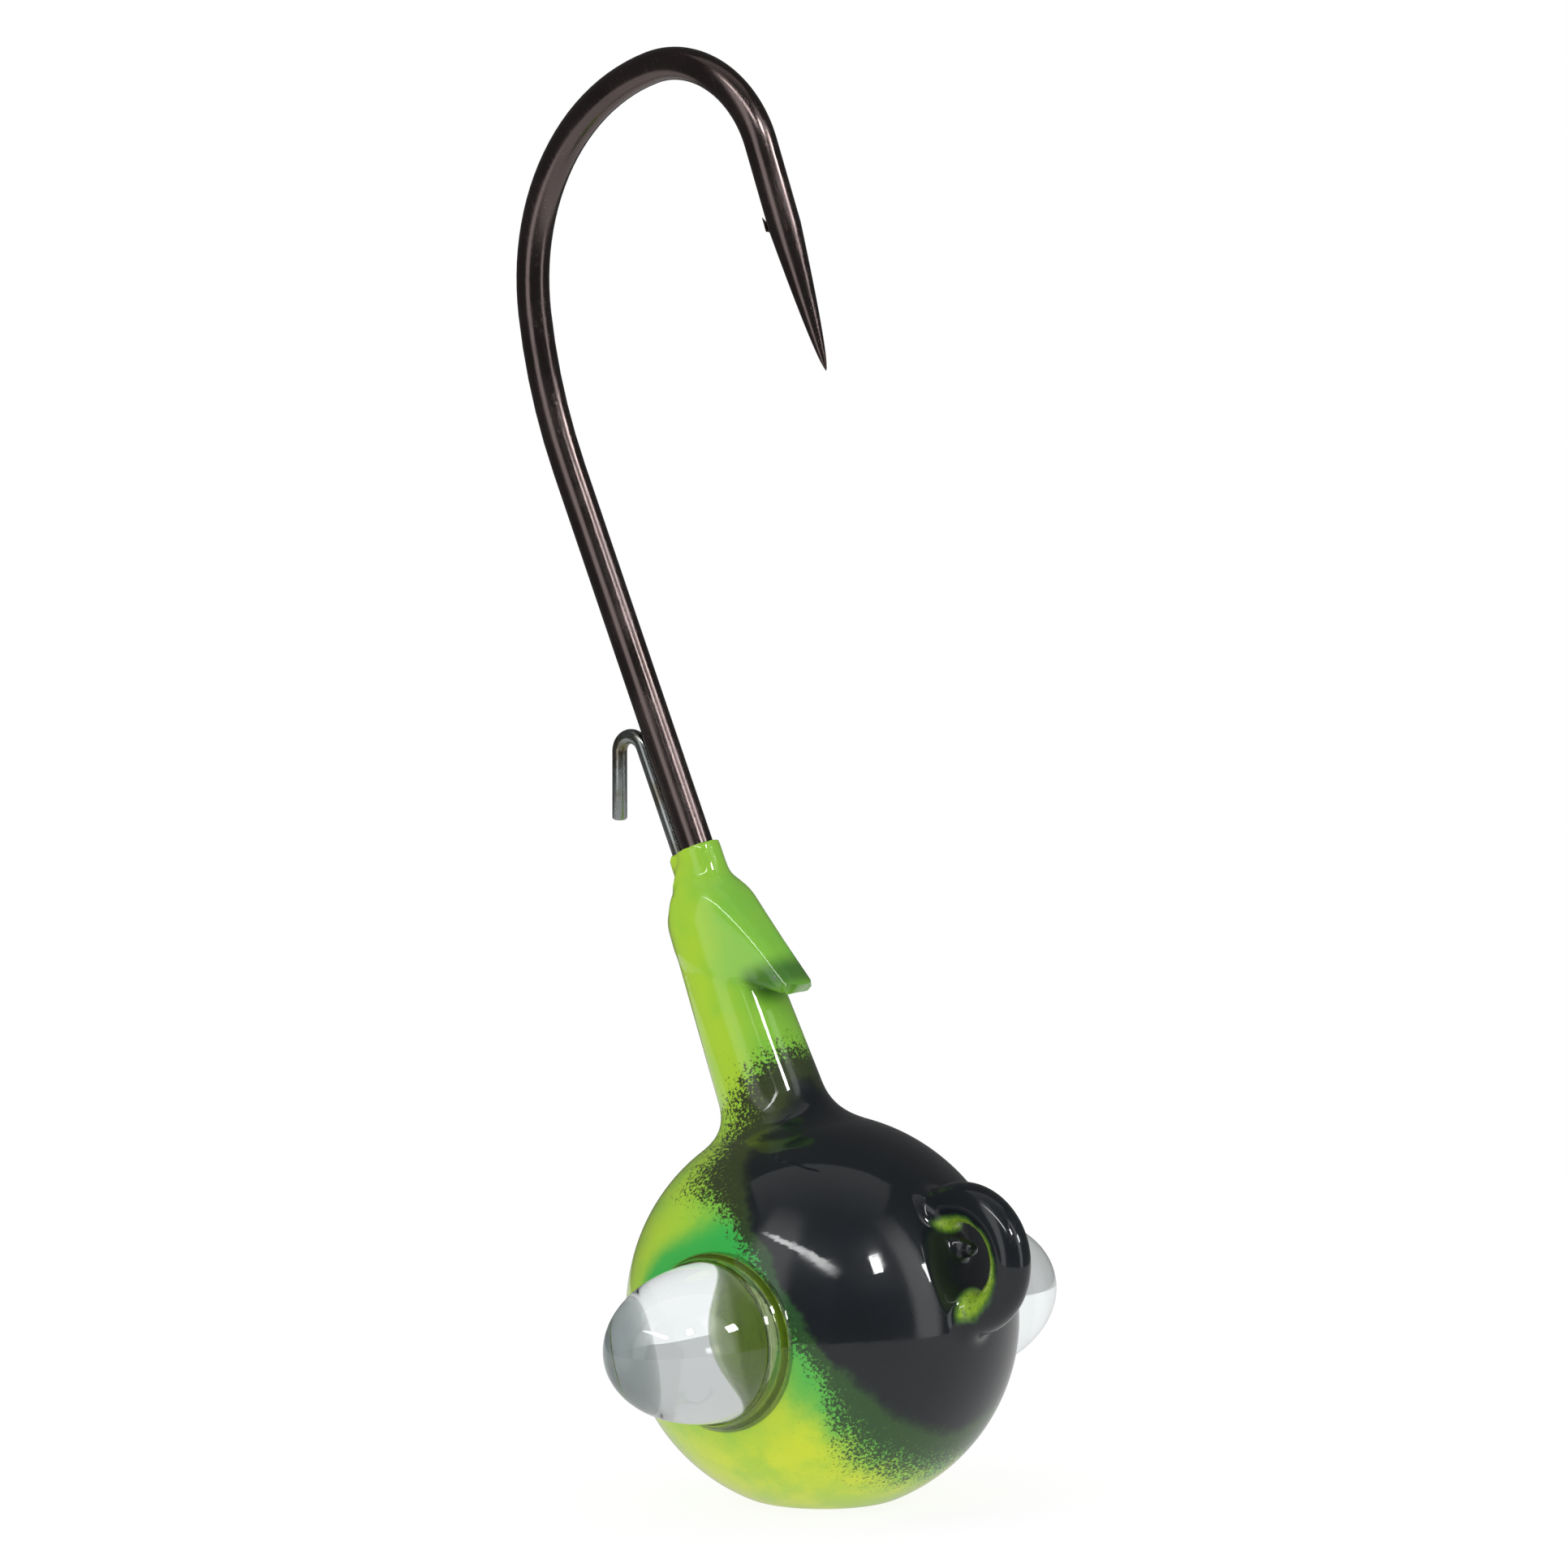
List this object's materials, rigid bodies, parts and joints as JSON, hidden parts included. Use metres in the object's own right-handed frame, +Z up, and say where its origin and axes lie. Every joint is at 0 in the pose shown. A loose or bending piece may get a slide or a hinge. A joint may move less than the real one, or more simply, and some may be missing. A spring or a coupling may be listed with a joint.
{
  "type": "jig head",
  "caption": "Round-head fishing jig: painted lead ball and collar cast on a 90-degree jig hook, with a line eye, domed clear eyes, a moulded bait barb and a bent keeper wire.",
  "frame": {"origin": "centre of the guessed flat under the ball's nose, where a casting gate would be trimmed, on the ground plane", "axes": "+Z up, away from the flat; the hook lies in the XZ plane with its line eye and its point towards +X, and the clear eyes look out along -Y and +Y; the shank leans 24.6 degrees from +Z towards -X"},
  "size_m": [0.0202, 0.0198, 0.0443],
  "materials": {
    "black_nickel_steel": "polished wire, black-nickel plated",
    "tinned_wire": "bright drawn wire",
    "cast_lead": "bare casting under the paint, lead alloy",
    "lime_black_enamel": "gloss: lime base, black airbrushed cap, clear coat",
    "clear_dome": "clear, polished",
    "clear_cement": "clear gloss adhesive"
  },
  "bodies": {
    "root": {"hook": "black_nickel_steel", "keeper_wire": "tinned_wire", "lead_casting": "cast_lead", "paint_coat": "lime_black_enamel", "eye_left": "clear_dome", "eye_right": "clear_dome", "eye_cement_left": "clear_cement", "eye_cement_right": "clear_cement"}
  },
  "joints": []
}
